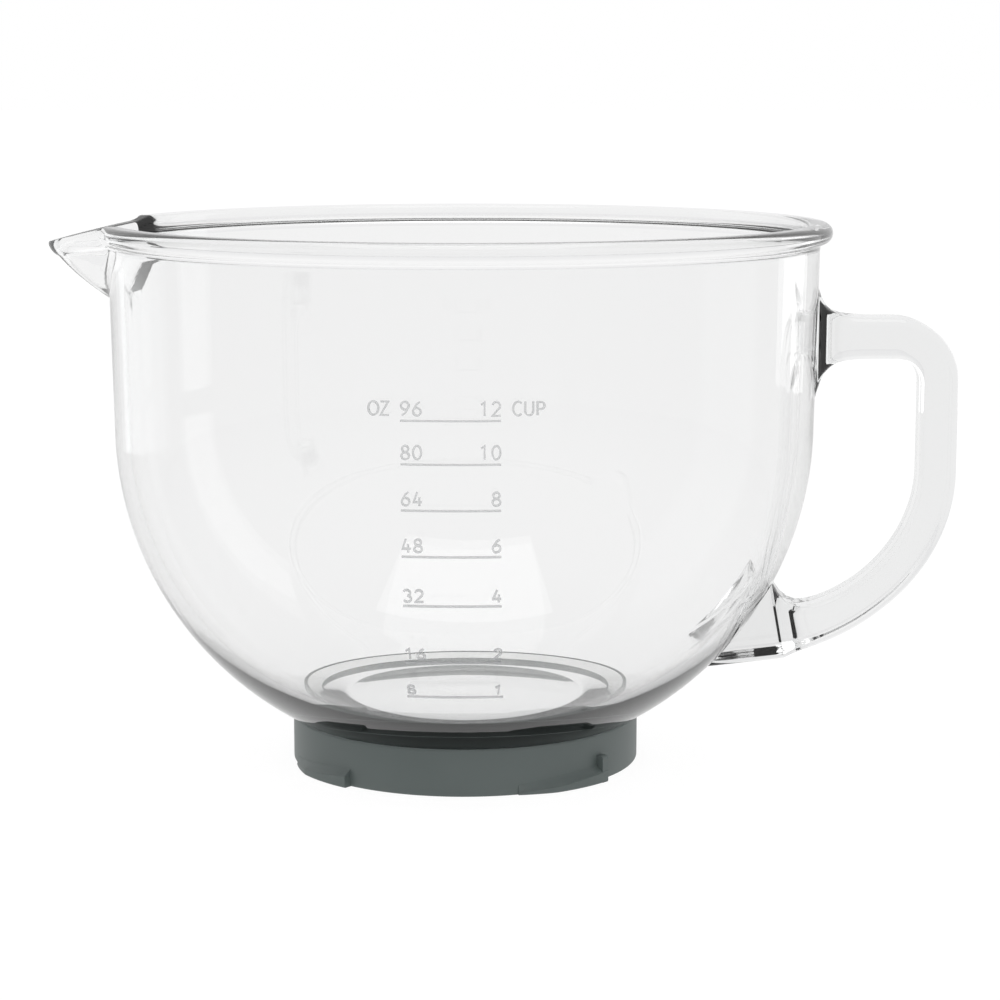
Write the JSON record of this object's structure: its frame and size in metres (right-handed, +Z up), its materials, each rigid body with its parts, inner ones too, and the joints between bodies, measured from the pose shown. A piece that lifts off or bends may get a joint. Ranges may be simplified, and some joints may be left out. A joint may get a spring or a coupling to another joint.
{
  "type": "mixing bowl",
  "caption": "Clear glass mixing bowl with a pouring spout, a D handle, a moulded cup and ounce scale, and a plastic twist-lock base for a stand mixer.",
  "frame": {"origin": "on the bowl's axis, at the plane the base stands on", "axes": "+Z up along the bowl's axis, +X through the handle, -X through the pouring spout, -Y through the moulded scale"},
  "size_m": [0.2873, 0.231, 0.172],
  "materials": {
    "clear_glass": "clear polished glass",
    "relief_glass": "moulded relief in the same clear glass",
    "base_plastic": "satin grey-green moulded plastic",
    "seal_silicone": "translucent white silicone"
  },
  "bodies": {
    "root": {"glass_bowl": "clear_glass", "handle": "clear_glass", "level_lines": "relief_glass", "ounce_numerals": "relief_glass", "cup_numerals": "relief_glass", "unit_letters": "relief_glass", "bayonet_base": "base_plastic", "foot_seal": "seal_silicone"}
  },
  "joints": []
}
